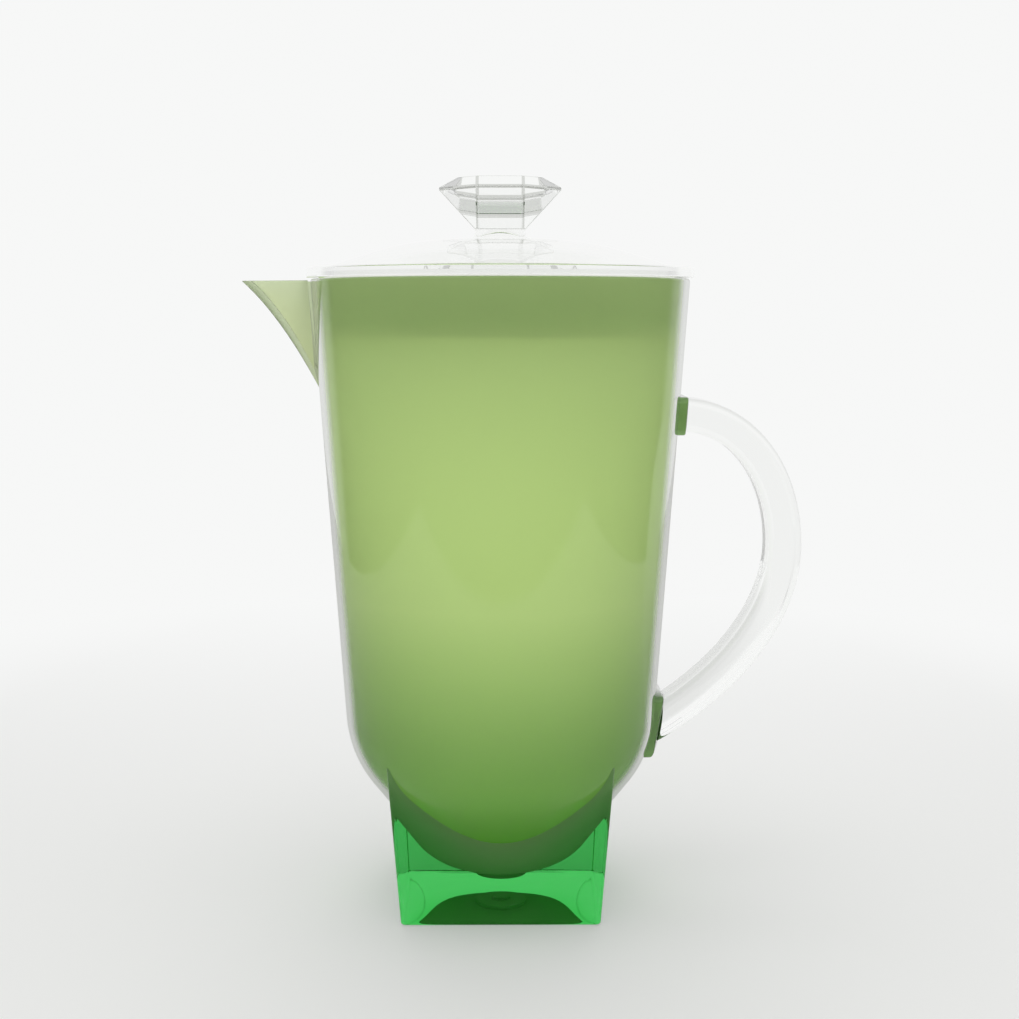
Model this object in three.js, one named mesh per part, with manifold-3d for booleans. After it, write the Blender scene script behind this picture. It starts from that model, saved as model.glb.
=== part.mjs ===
// A lidded water jug of acrylic: a milky green vessel with a round bowl, seated in a square block of clear green,
// with a pouring spout at -X, a clear arched handle at +X, and a clear lid with a faceted knob.
// Millimetres, +Z up. The origin is on the vessel's axis, on the surface that the jug stands on.

import * as THREE from "three";
import { mergeVertices } from "three/addons/utils/BufferGeometryUtils.js";
import Module from "manifold-3d";

const wasm = await Module();
wasm.setup();

// Counts of facets, and values that every piece shares
const AROUND = 60;
const CURVE_FACETS = 7;
const EDGE_FACETS = 3;
const BOND = 0.3; // bond line or running gap between two pieces
const OVERRUN = 6; // how far a cutting shape runs past what it cuts
const WELD = 1e-3;

// Vessel: a tapered wall over a conical bowl with a shallow rounded bottom
const RIM_HEIGHT = 238.6;
const RIM_RADIUS = 70.8;
const WALL_THICKNESS = 3.2;
const RIM_ROUNDING = 1.2;
const SHOULDER_HEIGHT = 58.4; // where wall and bowl would meet without their blend
const SHOULDER_RADIUS = 59;
const WALL_BLEND_HEIGHT = 13.6; // how far the blend reaches up the wall
const BOWL_BLEND_HEIGHT = 10.4; // and down the bowl
const BOWL_CORNER_HEIGHT = 17.6; // where the bowl's side and bottom would meet
const BOWL_CORNER_RADIUS = 28;
const BOTTOM_HEIGHT = 12.1; // lowest point of the bowl
const BOTTOM_FLAT_RADIUS = 19; // how far the bottom stays shallow
const BOWL_CORNER_BLEND_HEIGHT = 6.4; // how far the bottom's curve reaches up the bowl's side

// Stepped round pip under the bowl, which centres it in the foot
const PIP_RADIUS = 9.8;
const PIP_DEPTH = 1.9;
const PIP_STEP_RADIUS = 3.4;
const PIP_STEP_DEPTH = 1.4;

// Foot: a solid block, a tapered square with the bowl's seat cut out of its top
const FOOT_BASE_WIDTH = 74.6;
const FOOT_TOP_WIDTH = 83.4;
const FOOT_TOP_HEIGHT = 62;
const FOOT_CORNER_ROUNDING = 1.7;
const FOOT_EDGE_BEVEL = 1.1;

// Spout: a cone's side, with its point on the wall, that opens towards the rim
const SPOUT_TOP = 238;
const SPOUT_REACH = 96.9; // from the axis to the tip
const SPOUT_POINT_HEIGHT = 197;
const SPOUT_HALF_WIDTH = 14.2; // where it meets the wall, at the top
const SPOUT_TIP_RADIUS = 5;
const SPOUT_WALL = 2.8;
const SPOUT_TIP_FACETS = 12;

// Pads: raised parts of the wall's own form that the handle is bonded to
const PAD_PROUD = 3;
const PAD_WIDTH = 23;
const PAD_ROUNDING = 2.4;
const UPPER_PAD_BELOW = 7.6; // how far each pad reaches below and above the handle's centre line
const UPPER_PAD_ABOVE = 6.8;
const LOWER_PAD_BELOW = 14.2;
const LOWER_PAD_ABOVE = 10;

// Handle: a flat bar with rounded edges, bent along two curves that meet at its widest point
const HANDLE_THICKNESS = 12.7;
const HANDLE_WIDTH = 18;
const HANDLE_EDGE_ROUNDING = 3.2;
const HANDLE_UPPER_HEIGHT = 188.2; // centre line at the upper pad
const HANDLE_REACH = 108.4; // centre line at its widest
const HANDLE_REACH_HEIGHT = 137.8;
const HANDLE_LOWER_HEIGHT = 70; // centre line at the lower pad
const HANDLE_LOWER_SLOPE_DEG = 30.5; // how steeply the lower end climbs away from the vessel
const HANDLE_UPPER_PULL = 24; // lengths of the curves' tangents
const HANDLE_SIDE_PULL = 27.7;
const HANDLE_LOWER_PULL = 34;
const HANDLE_STEPS = 34;

// Lid: a shallow dome with a flange, a skirt that centres it, and a flared hub under the knob
const FLANGE_RADIUS = 72.3;
const FLANGE_THICKNESS = 3.5;
const FLANGE_ROUNDING = 0.6;
const LID_THICKNESS = 3;
const DOME_EDGE_RADIUS = 66.4; // where the dome rises from the flange
const DOME_FLANK_RADIUS = 48;
const DOME_FLANK_RISE = 9.3;
const DOME_SHOULDER_RADIUS = 37;
const DOME_CROWN_RISE = 14.2;
const HUB_TOP_RADIUS = 9.7; // of the flare, before it takes on the knob's outline
const HUB_TOP_RISE = 17.6;
const HUB_NECK_RADIUS = 13.6; // where the flare runs into the dome
const HUB_RINGS = 5;
const HUB_BASE_RADIUS = 19.8;
const HUB_BASE_RISE = 9;
const SKIRT_CLEARANCE = 0.7;
const SKIRT_THICKNESS = 2.6;
const SKIRT_DEPTH = 21;

// Knob: four rectangular facets a side wide, from a square foot over the girdle to the table, and corner facets
const KNOB_FACET_HALF_WIDTH = 8.5;
const KNOB_FOOT_HALF_SIZE = 9.3;
const KNOB_GIRDLE_HALF_SIZE = 22.5;
const KNOB_TABLE_HALF_SIZE = 15.4;
const KNOB_GIRDLE_RISE = 14.2;
const KNOB_GIRDLE_EDGE = 0.4;
const KNOB_HEIGHT = 18.6;

const UP = new THREE.Vector3(0, 0, 1);

// Closed mesh to solid, and back
function toSolid(geometry) {
  const bare = geometry.index ? geometry.toNonIndexed() : geometry.clone();
  bare.deleteAttribute("normal");
  bare.deleteAttribute("uv");
  const welded = mergeVertices(bare, WELD);
  const corners = welded.index.array;
  const kept = [];
  for (let i = 0; i < corners.length; i += 3) {
    const [a, b, c] = corners.slice(i, i + 3);
    if (a !== b && b !== c && c !== a) kept.push(a, b, c);
  }
  return new wasm.Manifold(
    new wasm.Mesh({
      numProp: 3,
      vertProperties: welded.attributes.position.array,
      triVerts: new Uint32Array(kept),
    }),
  );
}

function toGeometry(solid) {
  const mesh = solid.getMesh();
  const geometry = new THREE.BufferGeometry();
  geometry.setAttribute("position", new THREE.BufferAttribute(mesh.vertProperties, 3));
  geometry.setIndex(new THREE.BufferAttribute(mesh.triVerts, 1));
  geometry.computeVertexNormals();
  return geometry;
}

// Turns an outline of (radius, height) points about the vertical axis
function revolve(outline) {
  const geometry = new THREE.LatheGeometry(outline, AROUND);
  return toSolid(geometry.rotateX(Math.PI / 2));
}

// Joins rings of equal count, from the lowest up, into a closed solid with flat ends
function loft(rings) {
  const count = rings[0].length;
  const points = rings.flat();
  const triangles = [];
  for (let k = 0; k + 1 < rings.length; k++) {
    for (let i = 0; i < count; i++) {
      const next = (i + 1) % count;
      const [a, b] = [k * count + i, k * count + next];
      const [c, d] = [b + count, a + count];
      triangles.push(a, b, c, a, c, d);
    }
  }
  const top = (rings.length - 1) * count;
  for (let i = 1; i + 1 < count; i++) {
    triangles.push(0, i + 1, i);
    triangles.push(top, top + i, top + i + 1);
  }
  const geometry = new THREE.BufferGeometry().setFromPoints(points);
  geometry.setIndex(triangles);
  return toSolid(geometry);
}

// A flat outline of Vector2 points, at a height
const atHeight = (outline, height) => outline.map((p) => new THREE.Vector3(p.x, p.y, height));

// Counter-clockwise rectangle with rounded corners, about its centre
function roundedRectangle(width, depth, rounding) {
  const [x, y] = [width / 2 - rounding, depth / 2 - rounding];
  const centres = [
    [x, y],
    [-x, y],
    [-x, -y],
    [x, -y],
  ];
  const points = [];
  centres.forEach(([cx, cy], quarter) => {
    for (let i = 0; i <= EDGE_FACETS; i++) {
      const angle = (Math.PI / 2) * (quarter + i / EDGE_FACETS);
      points.push(new THREE.Vector2(cx + rounding * Math.cos(angle), cy + rounding * Math.sin(angle)));
    }
  });
  return points;
}

// Vessel outline, from the bottom's centre up to the rim

const bowlSlope = (SHOULDER_RADIUS - BOWL_CORNER_RADIUS) / (SHOULDER_HEIGHT - BOWL_CORNER_HEIGHT);
const wallSlope = (RIM_RADIUS - SHOULDER_RADIUS) / (RIM_HEIGHT - SHOULDER_HEIGHT);
const bowlRadiusAt = (height) => SHOULDER_RADIUS + bowlSlope * (height - SHOULDER_HEIGHT);
const wallRadiusAt = (height) => SHOULDER_RADIUS + wallSlope * (height - SHOULDER_HEIGHT);

function vesselOutline() {
  const bottomEnd = BOWL_CORNER_HEIGHT + BOWL_CORNER_BLEND_HEIGHT;
  const blendLow = SHOULDER_HEIGHT - BOWL_BLEND_HEIGHT;
  const blendHigh = SHOULDER_HEIGHT + WALL_BLEND_HEIGHT;
  const path = new THREE.Path();
  path.moveTo(0, BOTTOM_HEIGHT);
  path.bezierCurveTo(
    BOTTOM_FLAT_RADIUS,
    BOTTOM_HEIGHT,
    BOWL_CORNER_RADIUS,
    BOWL_CORNER_HEIGHT,
    bowlRadiusAt(bottomEnd),
    bottomEnd,
  );
  path.lineTo(bowlRadiusAt(blendLow), blendLow);
  path.quadraticCurveTo(SHOULDER_RADIUS, SHOULDER_HEIGHT, wallRadiusAt(blendHigh), blendHigh);
  path.lineTo(RIM_RADIUS, RIM_HEIGHT);
  return path.getPoints(CURVE_FACETS);
}

// The vessel's outline moved outwards by a distance, still from the axis up to the rim's height
function offsetVessel(distance) {
  const points = vesselOutline();
  const moved = points.map((p, i) => {
    const before = points[Math.max(i - 1, 0)];
    const after = points[Math.min(i + 1, points.length - 1)];
    const along = after.clone().sub(before).normalize();
    return p.clone().add(new THREE.Vector2(along.y, -along.x).multiplyScalar(distance));
  });
  moved[0].set(0, BOTTOM_HEIGHT - distance);
  const slant = Math.hypot(1, wallSlope);
  moved.at(-1).set(RIM_RADIUS + distance * slant, RIM_HEIGHT);
  return moved;
}

// Everything inside the vessel's outer face moved outwards by a distance, open above the rim
function vesselBlank(distance) {
  const outline = offsetVessel(distance);
  const above = RIM_HEIGHT + OVERRUN;
  outline.push(new THREE.Vector2(outline.at(-1).x, above), new THREE.Vector2(0, above));
  return revolve(outline);
}

// The spout's cone: straight sides and a round tip in plan, drawn down to its point and inwards past the wall
function spoutCone(reach, halfWidth, tipRadius, pointRadius, pointHeight) {
  const root = wallRadiusAt(SPOUT_TOP);
  const inward = root - SPOUT_REACH / 3;
  const tipCentre = reach - tipRadius;
  const length = tipCentre - root;
  const taper = Math.acos(tipRadius / Math.hypot(length, halfWidth)) - Math.atan2(length, halfWidth);
  const sweep = Math.PI - 2 * taper;
  const plan = [new THREE.Vector2(-inward, halfWidth), new THREE.Vector2(-root, halfWidth)];
  for (let i = 0; i <= SPOUT_TIP_FACETS; i++) {
    const turn = Math.PI / 2 + taper + (sweep * i) / SPOUT_TIP_FACETS;
    plan.push(new THREE.Vector2(tipRadius * Math.cos(turn) - tipCentre, tipRadius * Math.sin(turn)));
  }
  plan.push(new THREE.Vector2(-root, -halfWidth), new THREE.Vector2(-inward, -halfWidth));
  const beyondShare = 1 + OVERRUN / (SPOUT_TOP - pointHeight);
  const point = new THREE.Vector3(-pointRadius, 0, pointHeight);
  const high = atHeight(plan, SPOUT_TOP).map((p) => p.sub(point).multiplyScalar(beyondShare).add(point));
  const low = plan.map(() => point.clone());
  return loft([low, high]);
}

const spoutRise = SPOUT_TOP - SPOUT_POINT_HEIGHT;
const spoutPointRadius = wallRadiusAt(SPOUT_POINT_HEIGHT);
const keelRun = SPOUT_REACH - spoutPointRadius;

function spoutOuter() {
  return spoutCone(SPOUT_REACH, SPOUT_HALF_WIDTH, SPOUT_TIP_RADIUS, spoutPointRadius, SPOUT_POINT_HEIGHT);
}

// The hollow of the spout keeps the wall's thickness square to the keel and to the sides
function spoutInner() {
  const keelLength = Math.hypot(spoutRise, keelRun);
  const level = (SPOUT_WALL * keelLength) / spoutRise;
  const sideShare = 1 - SPOUT_WALL / SPOUT_HALF_WIDTH;
  const pointHeight = SPOUT_TOP - spoutRise * sideShare;
  const pointRadius = spoutPointRadius + keelRun * (1 - sideShare) - level;
  const tipRadius = SPOUT_TIP_RADIUS * sideShare;
  return spoutCone(SPOUT_REACH - level, SPOUT_HALF_WIDTH * sideShare, tipRadius, pointRadius, pointHeight);
}

function makeBody() {
  const outer = offsetVessel(0);
  const inner = offsetVessel(-WALL_THICKNESS);
  const outerTop = outer.pop();
  const innerTop = inner.pop();
  const low = RIM_HEIGHT - RIM_ROUNDING;
  const rim = new THREE.Path();
  rim.moveTo(wallRadiusAt(low), low);
  rim.quadraticCurveTo(outerTop.x, RIM_HEIGHT, outerTop.x - RIM_ROUNDING, RIM_HEIGHT);
  rim.lineTo(innerTop.x + RIM_ROUNDING, RIM_HEIGHT);
  rim.quadraticCurveTo(innerTop.x, RIM_HEIGHT, innerTop.x - wallSlope * RIM_ROUNDING, low);
  const wall = revolve([...outer, ...rim.getPoints(EDGE_FACETS), ...inner.reverse()]);
  return wall.subtract(spoutInner()).add(makePip(0));
}

// The pip, or with a margin its pocket in the foot
function makePip(margin) {
  const shelf = BOTTOM_HEIGHT - PIP_DEPTH - margin;
  const tip = shelf - PIP_STEP_DEPTH;
  const top = BOTTOM_HEIGHT + WALL_THICKNESS / 2;
  const outline = [
    [0, tip],
    [PIP_STEP_RADIUS + margin, tip],
    [PIP_STEP_RADIUS + margin, shelf],
    [PIP_RADIUS + margin, shelf],
    [PIP_RADIUS + margin, top],
    [0, top],
  ];
  return revolve(outline.map(([radius, height]) => new THREE.Vector2(radius, height)));
}

function makeFoot() {
  const widthAt = (height) =>
    FOOT_BASE_WIDTH + ((FOOT_TOP_WIDTH - FOOT_BASE_WIDTH) * height) / FOOT_TOP_HEIGHT;
  const sections = [
    [0, FOOT_EDGE_BEVEL],
    [FOOT_EDGE_BEVEL, 0],
    [FOOT_TOP_HEIGHT, 0],
  ];
  const rings = sections.map(([height, inset]) => {
    const width = widthAt(height) - 2 * inset;
    return atHeight(roundedRectangle(width, width, FOOT_CORNER_ROUNDING), height);
  });
  return loft(rings).subtract(vesselBlank(BOND)).subtract(makePip(BOND));
}

function makeSpout() {
  const above = OVERRUN * 2;
  const lid = new THREE.BoxGeometry(SPOUT_REACH * 2, SPOUT_REACH * 2, above);
  lid.translate(-SPOUT_REACH, 0, SPOUT_TOP + above / 2);
  return spoutOuter().subtract(spoutInner()).subtract(toSolid(lid)).subtract(vesselBlank(BOND));
}

// A pad: what lies between the wall and the wall's form moved outwards, within a rounded window
function makePad(centre, below, above) {
  const window = roundedRectangle(below + above, PAD_WIDTH, PAD_ROUNDING);
  const shape = new THREE.Shape(window);
  const block = new THREE.ExtrudeGeometry(shape, { depth: RIM_RADIUS + OVERRUN, bevelEnabled: false });
  block.rotateY(Math.PI / 2);
  block.translate(0, 0, centre + (above - below) / 2);
  return toSolid(block).intersect(vesselBlank(PAD_PROUD)).subtract(vesselBlank(BOND));
}

function handlePath() {
  const slope = THREE.MathUtils.degToRad(HANDLE_LOWER_SLOPE_DEG);
  const along = new THREE.Vector3(Math.cos(slope), 0, Math.sin(slope));
  const upperStart = wallRadiusAt(HANDLE_UPPER_HEIGHT);
  const widest = new THREE.Vector3(HANDLE_REACH, 0, HANDLE_REACH_HEIGHT);
  const pad = new THREE.Vector3(wallRadiusAt(HANDLE_LOWER_HEIGHT) + PAD_PROUD, 0, HANDLE_LOWER_HEIGHT);
  const lowerEnd = pad.clone().addScaledVector(along, -OVERRUN);
  const path = new THREE.CurvePath();
  path.add(
    new THREE.CubicBezierCurve3(
      new THREE.Vector3(upperStart, 0, HANDLE_UPPER_HEIGHT),
      new THREE.Vector3(upperStart + HANDLE_UPPER_PULL, 0, HANDLE_UPPER_HEIGHT),
      widest.clone().addScaledVector(UP, HANDLE_SIDE_PULL),
      widest,
    ),
  );
  path.add(
    new THREE.CubicBezierCurve3(
      widest,
      widest.clone().addScaledVector(UP, -HANDLE_SIDE_PULL),
      lowerEnd.clone().addScaledVector(along, HANDLE_LOWER_PULL),
      lowerEnd,
    ),
  );
  return path;
}

function makeHandle() {
  const section = new THREE.Shape(roundedRectangle(HANDLE_WIDTH, HANDLE_THICKNESS, HANDLE_EDGE_ROUNDING));
  const bar = new THREE.ExtrudeGeometry(section, { steps: HANDLE_STEPS, extrudePath: handlePath() });
  return toSolid(bar).subtract(vesselBlank(PAD_PROUD + BOND));
}

// Lid heights are told from the flange's underside
const FLANGE_LOW = RIM_HEIGHT + BOND;
const flangeTop = FLANGE_LOW + FLANGE_THICKNESS;
const crown = FLANGE_LOW + DOME_CROWN_RISE;
const hubTop = FLANGE_LOW + HUB_TOP_RISE;

// The flared neck, round where it leaves the dome and with the knob's own outline at its top
function makeNeck() {
  const flare = new THREE.QuadraticBezierCurve(
    new THREE.Vector2(HUB_NECK_RADIUS, crown),
    new THREE.Vector2(HUB_TOP_RADIUS, crown),
    new THREE.Vector2(HUB_TOP_RADIUS, hubTop),
  );
  const rings = flare.getPoints(HUB_RINGS).map((p) => {
    const share = (p.y - crown) / (hubTop - crown);
    return neckRing(p.x, share, p.y);
  });
  return loft([neckRing(HUB_NECK_RADIUS, 0, crown - LID_THICKNESS / 2), ...rings]);
}

// A ring of the neck between a circle, at share 0, and the outline of the knob's foot
function neckRing(radius, share, height) {
  const points = [];
  for (let i = 0; i < AROUND; i++) {
    const turn = (2 * Math.PI * i) / AROUND;
    const way = new THREE.Vector3(Math.cos(turn), Math.sin(turn), 0);
    const [x, y] = [Math.abs(way.x), Math.abs(way.y)];
    const side = KNOB_FOOT_HALF_SIZE / Math.max(x, y);
    const corner = (KNOB_FOOT_HALF_SIZE + KNOB_FACET_HALF_WIDTH) / (x + y);
    const reach = THREE.MathUtils.lerp(radius, Math.min(side, corner), share);
    points.push(way.multiplyScalar(reach).setZ(height));
  }
  return points;
}

function makeLid() {
  const skirtLow = FLANGE_LOW - SKIRT_DEPTH;
  const skirtOuter = wallRadiusAt(skirtLow) - WALL_THICKNESS - SKIRT_CLEARANCE;
  const skirtInner = skirtOuter - SKIRT_THICKNESS;
  const skirtEdge = skirtLow + SKIRT_THICKNESS / 2;
  const hubBase = FLANGE_LOW + HUB_BASE_RISE;
  const flank = FLANGE_LOW + DOME_FLANK_RISE;
  const lid = new THREE.Path();
  lid.moveTo(0, hubBase);
  lid.lineTo(HUB_BASE_RADIUS, hubBase);
  lid.quadraticCurveTo(HUB_NECK_RADIUS, hubBase + LID_THICKNESS, HUB_NECK_RADIUS, crown - LID_THICKNESS);
  lid.bezierCurveTo(
    DOME_SHOULDER_RADIUS,
    crown - LID_THICKNESS,
    DOME_FLANK_RADIUS,
    flank - LID_THICKNESS,
    skirtInner,
    flangeTop - LID_THICKNESS / 2,
  );
  lid.lineTo(skirtInner, skirtEdge);
  lid.quadraticCurveTo(skirtInner, skirtLow, skirtInner + SKIRT_THICKNESS / 2, skirtLow);
  lid.quadraticCurveTo(skirtOuter, skirtLow, skirtOuter, skirtEdge);
  lid.lineTo(skirtOuter, FLANGE_LOW);
  lid.lineTo(FLANGE_RADIUS - FLANGE_ROUNDING, FLANGE_LOW);
  lid.quadraticCurveTo(FLANGE_RADIUS, FLANGE_LOW, FLANGE_RADIUS, FLANGE_LOW + FLANGE_ROUNDING);
  lid.lineTo(FLANGE_RADIUS, flangeTop - FLANGE_ROUNDING);
  lid.quadraticCurveTo(FLANGE_RADIUS, flangeTop, FLANGE_RADIUS - FLANGE_ROUNDING, flangeTop);
  lid.lineTo(DOME_EDGE_RADIUS, flangeTop);
  lid.bezierCurveTo(DOME_FLANK_RADIUS, flank, DOME_SHOULDER_RADIUS, crown, HUB_NECK_RADIUS, crown);
  lid.lineTo(0, crown);
  return revolve(lid.getPoints(EDGE_FACETS)).add(makeNeck());
}

// One ring of the knob: an octagon whose four main sides have the facets' width
function knobRing(halfSize, height) {
  const width = KNOB_FACET_HALF_WIDTH;
  const corners = [
    [halfSize, -width],
    [halfSize, width],
    [width, halfSize],
    [-width, halfSize],
    [-halfSize, width],
    [-halfSize, -width],
    [-width, -halfSize],
    [width, -halfSize],
  ];
  return corners.map(([x, y]) => new THREE.Vector3(x, y, height));
}

function makeKnob() {
  const foot = hubTop + BOND;
  const girdle = foot + KNOB_GIRDLE_RISE;
  return loft([
    knobRing(KNOB_FOOT_HALF_SIZE, foot),
    knobRing(KNOB_GIRDLE_HALF_SIZE, girdle),
    knobRing(KNOB_GIRDLE_HALF_SIZE, girdle + KNOB_GIRDLE_EDGE),
    knobRing(KNOB_TABLE_HALF_SIZE, foot + KNOB_HEIGHT),
  ]);
}

// Materials

const milkyGreen = new THREE.MeshStandardMaterial({ color: 0x9cc46c, roughness: 0.08, metalness: 0 });
const clearGreen = new THREE.MeshStandardMaterial({
  color: 0x3fc456,
  roughness: 0.03,
  metalness: 0,
  transparent: true,
  opacity: 0.6,
});
const clear = new THREE.MeshStandardMaterial({
  color: 0xf2f4f1,
  roughness: 0.02,
  metalness: 0,
  transparent: true,
  opacity: 0.25,
});

function piece(name, solid, material) {
  const mesh = new THREE.Mesh(toGeometry(solid), material);
  mesh.name = name;
  return mesh;
}

// Assembly: the vessel and what is bonded to it, and the lid with its knob

const vessel = new THREE.Group();
vessel.add(
  piece("body", makeBody(), milkyGreen),
  piece("spout", makeSpout(), milkyGreen),
  piece("upper_pad", makePad(HANDLE_UPPER_HEIGHT, UPPER_PAD_BELOW, UPPER_PAD_ABOVE), milkyGreen),
  piece("lower_pad", makePad(HANDLE_LOWER_HEIGHT, LOWER_PAD_BELOW, LOWER_PAD_ABOVE), milkyGreen),
  piece("foot", makeFoot(), clearGreen),
  piece("handle", makeHandle(), clear),
);

const cover = new THREE.Group();
cover.add(piece("lid", makeLid(), clear), piece("knob", makeKnob(), clear));

const jug = new THREE.Group();
jug.add(vessel, cover);

export default jug;
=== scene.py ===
# A water jug of acrylic on a white table, before a bright backdrop: a milky green vessel in a square block
# of clear green, with a clear handle and a clear lid. Sizes are in millimetres in the jug's own frame, and
# MM turns them into metres.

import math

import bpy
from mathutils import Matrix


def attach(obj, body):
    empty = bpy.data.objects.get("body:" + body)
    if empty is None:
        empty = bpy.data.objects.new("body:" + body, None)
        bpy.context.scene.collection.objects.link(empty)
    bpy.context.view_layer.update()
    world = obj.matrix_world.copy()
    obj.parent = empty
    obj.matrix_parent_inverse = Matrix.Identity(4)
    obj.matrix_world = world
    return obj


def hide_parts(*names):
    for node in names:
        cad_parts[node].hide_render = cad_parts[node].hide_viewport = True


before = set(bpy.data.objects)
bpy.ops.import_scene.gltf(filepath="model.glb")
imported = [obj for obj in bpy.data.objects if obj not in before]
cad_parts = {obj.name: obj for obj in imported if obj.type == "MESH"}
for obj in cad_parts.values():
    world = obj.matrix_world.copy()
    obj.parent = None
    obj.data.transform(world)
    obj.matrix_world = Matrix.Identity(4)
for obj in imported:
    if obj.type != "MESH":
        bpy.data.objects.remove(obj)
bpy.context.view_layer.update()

MM = 0.001
AROUND = 240  # points on each circle of a turned piece
SMOOTH_DEG = 35  # faces that meet at a smaller angle are shaded as one
CUT_OVERRUN = 6  # how far a cutter reaches past what it cuts
CONTACT = 0.05  # how near two bonded surfaces lie
HALF_BOND = 0.15  # half of the joint between the lid and its knob
BONDED_DEPTH = 1  # how far a bonded piece reaches into the wall that hides its end

# Vessel
RIM_HEIGHT = 238.6
RIM_RADIUS = 70.8
WALL_THICKNESS = 3.2
RIM_ROUNDING = 1.2
SHOULDER_HEIGHT = 58.4
SHOULDER_RADIUS = 59
WALL_BLEND_HEIGHT = 13.6
BOWL_BLEND_HEIGHT = 10.4
BOWL_CORNER_HEIGHT = 17.6
BOWL_CORNER_RADIUS = 28
BOTTOM_HEIGHT = 12.1
BOTTOM_FLAT_RADIUS = 19
BOWL_CORNER_BLEND_HEIGHT = 6.4
BOWL_STEPS = 24
BOWL_FLANK_STEPS = 6
SHOULDER_STEPS = 20
WALL_STEPS = 20
RIM_STEPS = 6
PIP_RADIUS = 9.8
PIP_DEPTH = 1.9
PIP_STEP_RADIUS = 3.4
PIP_STEP_DEPTH = 1.4

# Foot
FOOT_BASE_WIDTH = 74.6
FOOT_TOP_WIDTH = 83.4
FOOT_TOP_HEIGHT = 62
FOOT_CORNER_ROUNDING = 1.7
FOOT_CORNER_STEPS = 6
FOOT_EDGE_BEVEL = 0.8
FOOT_EDGE_STEPS = 4
VAULT_HALF_SIZE = 35.8
VAULT_DEPTH = 4.2
VAULT_SIDE_POWER = 6  # how suddenly the hollow falls at its two sides
VAULT_STEPS = 32

# Spout
SPOUT_TOP = 238
SPOUT_REACH = 96.9
SPOUT_POINT_HEIGHT = 197
SPOUT_HALF_WIDTH = 14.2
SPOUT_TIP_RADIUS = 5
SPOUT_WALL = 2.8
SPOUT_BOW = 3.8  # how far the spout's keel bends upwards from a straight line
SPOUT_TIP_STEPS = 24
SPOUT_SIDE_STEPS = 10
SPOUT_RISE_STEPS = 12
SPOUT_LIP_FALL = 0.45  # how far below its top the lip begins to round
SPOUT_LIP_SHARE = 0.2
SPOUT_LIP_STEPS = 6
NOTCH_REACH = SPOUT_REACH / 3  # how far inwards the cutter of the spout's opening goes

# Pads and handle
PAD_PROUD = 3
PAD_WIDTH = 23
PAD_ROUNDING = 2.4
PAD_CORNER_STEPS = 5
PAD_EDGE = 0.8
PAD_EDGE_STEPS = 4
PAD_INNER_SHARES = (0.8, 0.6, 0.4, 0.2)  # sizes of the rings that fill the pad's face
UPPER_PAD_BELOW = 7.6
UPPER_PAD_ABOVE = 6.8
LOWER_PAD_BELOW = 14.2
LOWER_PAD_ABOVE = 10
HANDLE_THICKNESS = 12.7
HANDLE_WIDTH = 18
HANDLE_EDGE_ROUNDING = 3.2
HANDLE_CORNER_STEPS = 8
HANDLE_STEPS = 60
HANDLE_UPPER_HEIGHT = 188.2
HANDLE_REACH = 108.4
HANDLE_REACH_HEIGHT = 137.8
HANDLE_LOWER_HEIGHT = 70
HANDLE_LOWER_SLOPE_DEG = 30.5
HANDLE_UPPER_PULL = 24
HANDLE_SIDE_PULL = 27.7
HANDLE_LOWER_PULL = 34
HANDLE_OVERRUN = 6  # how far the bar's lower end starts inside the wall

# Lid and knob
FLANGE_LOW = 238.9
FLANGE_RADIUS = 72.3
FLANGE_THICKNESS = 3.5
FLANGE_ROUNDING = 0.6
LID_THICKNESS = 3
DOME_EDGE_RADIUS = 66.4
DOME_FLANK_RADIUS = 48
DOME_FLANK_RISE = 9.3
DOME_SHOULDER_RADIUS = 37
DOME_CROWN_RISE = 14.2
HUB_TOP_RISE = 17.6
HUB_TOP_RADIUS = 9.7
HUB_NECK_RADIUS = 13.6
HUB_BASE_RADIUS = 19.8
HUB_BASE_RISE = 9
SKIRT_CLEARANCE = 0.7
SKIRT_THICKNESS = 2.6
SKIRT_DEPTH = 21
HUB_INNER_STEPS = 10
HUB_STEPS = 8
DOME_STEPS = 32
LID_EDGE_STEPS = 5
LID_SMOOTH_DEG = 30
KNOB_FACET_HALF_WIDTH = 8.5
KNOB_FOOT_HALF_SIZE = 9.3
KNOB_GIRDLE_HALF_SIZE = 22.5
KNOB_TABLE_HALF_SIZE = 15.4
KNOB_GIRDLE_RISE = 14.2
KNOB_GIRDLE_EDGE = 0.8
KNOB_EDGE_BEVEL = 0.45
KNOB_EDGE_STEPS = 2
KNOB_EDGE_DEG = 20  # edges that turn by more are bevelled
KNOB_HEIGHT = 18.9

# Camera: where it stood, which way it looks, and how long its lens is in pixels of the photograph
PHOTO_PX = 1019
FOCAL_PX = 1450
SENSOR_MM = 36
CAMERA_DISTANCE = 551
CAMERA_HEIGHT = 228.8
LEVEL_DEG = 90  # a camera turned by 0 looks straight down
CAMERA_PITCH_DEG = 8
CAMERA_YAW_DEG = 0.359

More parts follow.
